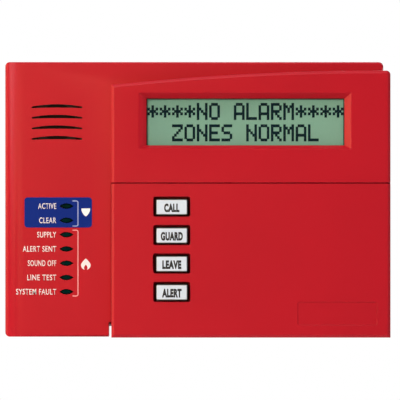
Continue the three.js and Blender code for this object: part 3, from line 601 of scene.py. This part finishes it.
class KEYPAD_OT_display(bpy.types.Operator):
    """Two-row dot-matrix display with its characters and the clear window in front"""
    bl_idname = "keypad.display"
    bl_label = "Display"

    column_pitch = 1.0 * MM
    letter_columns = 6
    lit_columns = 5
    letter_rows = 7
    letter_height = 8.0 * MM
    row_length = 16
    dot_parts = 8
    dot_depth = 0.03 * MM
    dot_clearance = 0.005 * MM
    pane_edge = 0.1 * MM
    pane_margin = 1.95 * MM
    # Width of the line of painted shade just inside the view opening.
    shade_line_stroke = 0.5 * MM
    row_tops = (46.7 * MM, 36.3 * MM)

    def row_of_dots(self, text, top, spread):
        """One row of characters: a fine sheet, of which the parts on or close to a lit dot stay."""
        low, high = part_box("lcd_glass")
        columns = self.letter_columns * len(text)
        width = columns * self.column_pitch
        left = (low.x + high.x) / 2 - (width - self.column_pitch) / 2
        dot_height = self.letter_height / self.letter_rows
        sheet_rows = self.letter_rows + 2
        clear_selection()
        bpy.ops.mesh.primitive_grid_add(
            x_subdivisions=columns * self.dot_parts,
            y_subdivisions=sheet_rows * self.dot_parts, size=1,
            location=(left + width / 2, low.y - self.dot_clearance, top - self.letter_height / 2),
            rotation=UPRIGHT)
        obj = bpy.context.object
        obj.scale = (width, sheet_rows * dot_height, 1)
        settle(obj)

        def lit(x, z):
            column = math.floor((x - left) / self.column_pitch)
            row = math.floor((top - z) / dot_height)
            letter, place = divmod(column, self.letter_columns)
            in_letter = 0 <= row < self.letter_rows and place < self.lit_columns
            return in_letter and 0 <= column < columns and DOT_LETTERS[text[letter]][row][place] == "1"

        keep_faces(obj, lambda centre: any(
            lit(centre.x + across, centre.z + up)
            for across in (-spread, spread) for up in (-spread, spread)))
        mesh_edit(obj, lambda: bpy.ops.mesh.dissolve_limited(angle_limit=FLAT_ANGLE))
        return apply_modifier(obj, "SOLIDIFY", thickness=self.dot_depth, offset=1.0)

    def window_shade_line(self, sizes):
        """A dark line on the back of the pane, just inside the view opening: painted shade that stands
        for the shadow in the gap between the opening and the display.
        """
        low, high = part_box("display_window")
        stroke = self.shade_line_stroke
        middle = (low + high) / 2
        obj = flat_plate(high.x - low.x - 2 * self.pane_margin,
                         high.z - low.z - 2 * self.pane_margin + stroke,
                         (middle.x, high.y + sizes.ink, middle.z - stroke / 2))
        mesh_edit(
            obj,
            lambda: bpy.ops.mesh.inset(thickness=stroke),
            lambda: bpy.ops.mesh.delete(type="FACE"),
        )
        return inked(obj)

    def execute(self, context):
        sizes = context.scene.keypad_sizes
        for name, look in (("lcd_frame", "black"), ("lcd_glass", "display"),
                           ("lcd_backlight", "backlight"), ("lcd_board", "board"),
                           ("lcd_header", "black")):
            paint(name, finish(look))
        rows = (sizes.upper_line, sizes.lower_line)
        for number, (text, top) in enumerate(zip(rows, self.row_tops), 1):
            line = text.ljust(self.row_length)[:self.row_length]
            dots = self.row_of_dots(line, top, sizes.dot_spread)
            dress(dots, f"display_row_{number}", body_of("lcd_glass"), "black_plastic",
                  finish("dots"))
        refined("display_window", "window_pane", "clear_window", finish("window"), self.pane_edge)
        # Painted shade: a dark line behind the pane for the shadow around the display.
        dress(self.window_shade_line(sizes), "window_shade_line", body_of("display_window"),
              "black_plastic", finish("black_ink_and_painted_shade"))
        return {"FINISHED"}


class KEYPAD_OT_status(bpy.types.Operator):
    """Status lenses, the blue film, and the words, brackets and symbols printed beside them"""
    bl_idname = "keypad.status"
    bl_label = "Status lights and print"

    right_edge = -67.05 * MM
    bracket_right = -56.25 * MM
    bracket_left = -59.15 * MM
    bracket_stroke = 0.5 * MM
    bracket_corner = 1.1 * MM
    upper_bracket = (-13.2 * MM, -0.5 * MM)
    lower_bracket = (-47.2 * MM, -14.7 * MM)
    symbol_x = -52.7 * MM
    shield_z = -6.3 * MM
    shield_size = (4.2 * MM, 3.8 * MM)
    shield_cut = 0.12
    flame_z = -31.5 * MM
    flame_size = (4.7 * MM, 5.5 * MM)
    flame_pinch = 0.6
    heart_size = (1.7 * MM, 2.6 * MM)
    heart_drop = 1.6 * MM
    heart_depth = 1 * MM
    lens_edge = 0.25 * MM
    lens_sink = 0.2 * MM
    word_start = -30 * MM
    word_weight = 0.012

    def bracket(self, bottom, top, depth):
        """A square bracket that is open to the left, with rounded corners."""
        spare = 4 * MM
        left = self.bracket_left - spare
        obj = flat_plate(self.bracket_right - left, top - bottom,
                         ((self.bracket_right + left) / 2, depth, (top + bottom) / 2))
        mesh_edit(
            obj,
            lambda: bpy.ops.mesh.bevel(offset=self.bracket_corner, segments=5, affect="VERTICES"),
            lambda: bpy.ops.mesh.select_all(action="SELECT"),
            lambda: bpy.ops.mesh.inset(thickness=self.bracket_stroke),
            lambda: bpy.ops.mesh.delete(type="FACE"),
            lambda: bpy.ops.mesh.select_all(action="SELECT"),
            lambda: bpy.ops.mesh.bisect(plane_co=(self.bracket_left, 0, 0),
                                        plane_no=(1, 0, 0), clear_inner=True),
        )
        return inked(obj)

    def drop_shape(self, width, height, centre, points_up=True, flat_end=0.0, pinch=0.3):
        """A disc drawn out to a point at one end and cut off flat at the other."""
        clear_selection()
        bpy.ops.mesh.primitive_circle_add(vertices=32, radius=0.5, fill_type="NGON",
                                          location=centre, rotation=UPRIGHT)
        obj = settle(bpy.context.object)
        sign = 1 if points_up else -1
        for vertex in obj.data.vertices:
            offset = vertex.co - Vector(centre)
            toward = max(0.0, sign * offset.z) * 2
            vertex.co.x = centre[0] + offset.x * (1 - pinch * toward * toward)
            vertex.co.z = centre[2] + offset.z * (1 + 0.35 * toward)
        if flat_end:
            cut = centre[2] - sign * flat_end
            mesh_edit(obj, lambda: bpy.ops.mesh.bisect(
                plane_co=(0, 0, cut), plane_no=(0, 0, -sign), clear_outer=True))
        xs = [v.co.x for v in obj.data.vertices]
        zs = [v.co.z for v in obj.data.vertices]
        middle = (min(zs) + max(zs)) / 2
        for vertex in obj.data.vertices:
            vertex.co.x = centre[0] + (vertex.co.x - centre[0]) * width / (max(xs) - min(xs))
            vertex.co.z = centre[2] + (vertex.co.z - middle) * height / (max(zs) - min(zs))
        return obj

    def flame(self, centre):
        """A flame with a smaller one cut out of its foot."""
        body = inked(self.drop_shape(*self.flame_size, centre, pinch=self.flame_pinch))
        lower = (centre[0], centre[1], centre[2] - self.heart_drop)
        heart = self.drop_shape(*self.heart_size, lower)
        apply_modifier(heart, "SOLIDIFY", thickness=self.heart_depth, offset=0.0)
        apply_modifier(body, "BOOLEAN", object=heart, operation="DIFFERENCE", solver="EXACT")
        bpy.data.objects.remove(heart)
        return body

    def execute(self, context):
        sizes = context.scene.keypad_sizes
        shell = bpy.data.objects["housing_shell"]
        film_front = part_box("status_label")[0].y
        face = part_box("indicator_lens_3")[0].y - self.lens_sink
        paint("status_label", finish("blue"))
        for number, (text, width) in enumerate(STATUS_WORDS, 1):
            lens = f"indicator_lens_{number}"
            refined(lens, f"status_lens_{number}", "dark_lens", finish("lens"), self.lens_edge, 3)
            paint(f"led_{number}", finish("resin"))
            low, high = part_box(lens)
            bottom = (low.z + high.z) / 2 - sizes.status_capitals / 2
            on_film = number <= 2
            depth = film_front if on_film else self.word_start
            corner = (self.right_edge - width * MM, depth, bottom)
            lettering = word(text, width * MM, sizes.status_capitals, corner, self.word_weight)
            inked(lettering, None if on_film else shell)
            dress(lettering, f"status_word_{number}", "case", "white_key", finish("white_ink"))
        dress(self.bracket(*self.upper_bracket, film_front), "bracket_upper", "case",
              "white_key", finish("film_ink"))
        dress(self.bracket(*self.lower_bracket, face), "bracket_lower", "case",
              "white_key", finish("rose_ink"))
        shield = self.drop_shape(*self.shield_size, (self.symbol_x, film_front, self.shield_z),
                                 points_up=False, flat_end=self.shield_cut)
        dress(inked(shield), "shield_symbol", "case", "white_key", finish("symbol_ink"))
        dress(self.flame((self.symbol_x, face, self.flame_z)), "flame_symbol", "case",
              "white_key", finish("white_ink"))
        return {"FINISHED"}


class KEYPAD_OT_works(bpy.types.Operator):
    """Circuit board and everything on it, key mat, sounder and terminals"""
    bl_idname = "keypad.works"
    bl_label = "Works inside"

    terminal_edge = 0.2 * MM
    sounder_edge = 0.3 * MM

    def execute(self, context):
        for name, look in (("main_board", "board"), ("processor_chip", "black"),
                           ("sounder_gasket", "foam"), ("keypad_mat", "silicone")):
            paint(name, finish(look))
        for number in range(1, 5):
            paint(f"board_screw_{number}", finish("steel"))
            paint(f"terminal_screw_{number}", finish("brass"))
        refined("terminal_block", "terminal_body", "green_terminal", finish("terminal"),
                self.terminal_edge)
        refined("sounder", "sounder_can", "black_plastic", finish("black"), self.sounder_edge)
        return {"FINISHED"}


class KEYPAD_OT_inner_label(bpy.types.Operator):
    """Ruled label inside the door"""
    bl_idname = "keypad.inner_label"
    bl_label = "Label inside the door"

    margin = 3 * MM
    columns = 3
    rows = 8
    stroke = 0.25 * MM
    ink_depth = 0.03 * MM

    def execute(self, context):
        node = "door_inner_label"
        paint(node, finish("paper"))
        low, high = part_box(node)
        clear_selection()
        bpy.ops.mesh.primitive_grid_add(
            x_subdivisions=self.columns, y_subdivisions=self.rows, size=1,
            location=((low.x + high.x) / 2, high.y, (low.z + high.z) / 2),
            rotation=(-math.pi / 2, 0, 0))
        rules = bpy.context.object
        rules.scale = (high.x - low.x - 2 * self.margin, high.z - low.z - 2 * self.margin, 1)
        settle(rules)
        apply_modifier(rules, "WIREFRAME", thickness=self.stroke, use_boundary=True)
        for vertex in rules.data.vertices:
            vertex.co.y = high.y + (self.ink_depth if vertex.co.y > high.y else 0.0)
        dress(rules, "label_rules", body_of(node), "black_plastic", finish("black_ink_and_painted_shade"))
        return {"FINISHED"}


class KEYPAD_OT_stage(bpy.types.Operator):
    """Pale floor, soft studio light and the camera"""
    bl_idname = "keypad.stage"
    bl_label = "Stage"

    floor_radius = 0.55
    floor_height = -0.2
    floor_thickness = 0.01
    camera_distance = 3.0
    film_width = 36
    view_width = 0.1942
    view_centre = Vector((0.0028, -0.026, -0.0003))
    dim_front = 0.1
    soft_sides = 0.5
    dim_within = (-1.0, -0.55)
    soft_colour = (0.93, 0.95, 1.0, 1)

    def softbox(self, name, place, size, power, colour):
        """A square area light that looks at the keypad."""
        clear_selection()
        bpy.ops.object.light_add(type="AREA", location=place)
        lamp = bpy.context.object
        lamp.name = name
        lamp.data.size = size
        lamp.data.energy = power
        lamp.data.color = colour
        lamp.rotation_euler = (-Vector(place)).to_track_quat("-Z", "Y").to_euler()

    def execute(self, context):
        scene = context.scene
        clear_selection()
        bpy.ops.mesh.primitive_circle_add(vertices=96, radius=self.floor_radius,
                                          fill_type="NGON", location=(0, 0, self.floor_height))
        floor = settle(bpy.context.object)
        floor.name = "floor"
        apply_modifier(floor, "SOLIDIFY", thickness=self.floor_thickness, offset=-1.0)
        floor.data.materials.append(
            grained("pale_floor", (0.82, 0.82, 0.81), 0.6, patch=3, grain=400, depth=0.05))

        for light in LIGHTS:
            self.softbox(*light)

        world = bpy.data.worlds.new("studio")
        scene.world = world
        world.use_nodes = True
        nodes, links = world.node_tree.nodes, world.node_tree.links
        soft = nodes["Background"]
        soft.inputs["Color"].default_value = self.soft_colour
        where = nodes.new("ShaderNodeTexCoord")
        split = nodes.new("ShaderNodeSeparateXYZ")
        links.new(where.outputs["Generated"], split.inputs["Vector"])
        room = nodes.new("ShaderNodeMapRange")
        room.interpolation_type = "SMOOTHSTEP"
        room.inputs["From Min"].default_value = self.dim_within[0]
        room.inputs["From Max"].default_value = self.dim_within[1]
        room.inputs["To Min"].default_value = self.dim_front
        room.inputs["To Max"].default_value = self.soft_sides
        links.new(split.outputs["Y"], room.inputs["Value"])
        links.new(room.outputs["Result"], soft.inputs["Strength"])
        white = nodes.new("ShaderNodeBackground")
        white.inputs["Color"].default_value = (1, 1, 1, 1)
        seen = nodes.new("ShaderNodeLightPath")
        mix = nodes.new("ShaderNodeMixShader")
        links.new(seen.outputs["Is Camera Ray"], mix.inputs["Fac"])
        links.new(soft.outputs["Background"], mix.inputs[1])
        links.new(white.outputs["Background"], mix.inputs[2])
        links.new(mix.outputs["Shader"], nodes["World Output"].inputs["Surface"])
        scene.view_settings.view_transform = "Standard"

        clear_selection()
        bpy.ops.object.camera_add(
            location=self.view_centre + FRONT * self.camera_distance, rotation=UPRIGHT)
        camera = bpy.context.object
        camera.data.sensor_width = self.film_width
        camera.data.lens = self.film_width * self.camera_distance / self.view_width
        scene.camera = camera
        return {"FINISHED"}


class KEYPAD_PT_panel(bpy.types.Panel):
    """Lists the pieces and the stage"""
    bl_label = "Wall Alarm Keypad"
    bl_space_type = "VIEW_3D"
    bl_region_type = "UI"
    bl_category = "Keypad"

    def draw(self, context):
        layout = self.layout
        for group in (context.scene.keypad_sizes, context.scene.keypad_colours):
            box = layout.box()
            for name in group.__annotations__:
                box.prop(group, name)
        for operator in PIECES:
            layout.operator(operator.bl_idname)


PIECES = (
    KEYPAD_OT_stage, KEYPAD_OT_housing, KEYPAD_OT_wall_plate, KEYPAD_OT_keys,
    KEYPAD_OT_display, KEYPAD_OT_status, KEYPAD_OT_works, KEYPAD_OT_inner_label,
)
CLASSES = (KeypadColours, KeypadSizes, *PIECES, KEYPAD_PT_panel)


def register():
    for each in CLASSES:
        bpy.utils.register_class(each)
    bpy.types.Scene.keypad_colours = PointerProperty(type=KeypadColours)
    bpy.types.Scene.keypad_sizes = PointerProperty(type=KeypadSizes)


def unregister():
    del bpy.types.Scene.keypad_sizes
    del bpy.types.Scene.keypad_colours
    for each in reversed(CLASSES):
        bpy.utils.unregister_class(each)


def main():
    register()
    bpy.ops.keypad.stage()
    bpy.ops.keypad.housing()
    bpy.ops.keypad.wall_plate()
    bpy.ops.keypad.keys()
    bpy.ops.keypad.display()
    bpy.ops.keypad.status()
    bpy.ops.keypad.works()
    bpy.ops.keypad.inner_label()


if __name__ == "__main__":
    main()
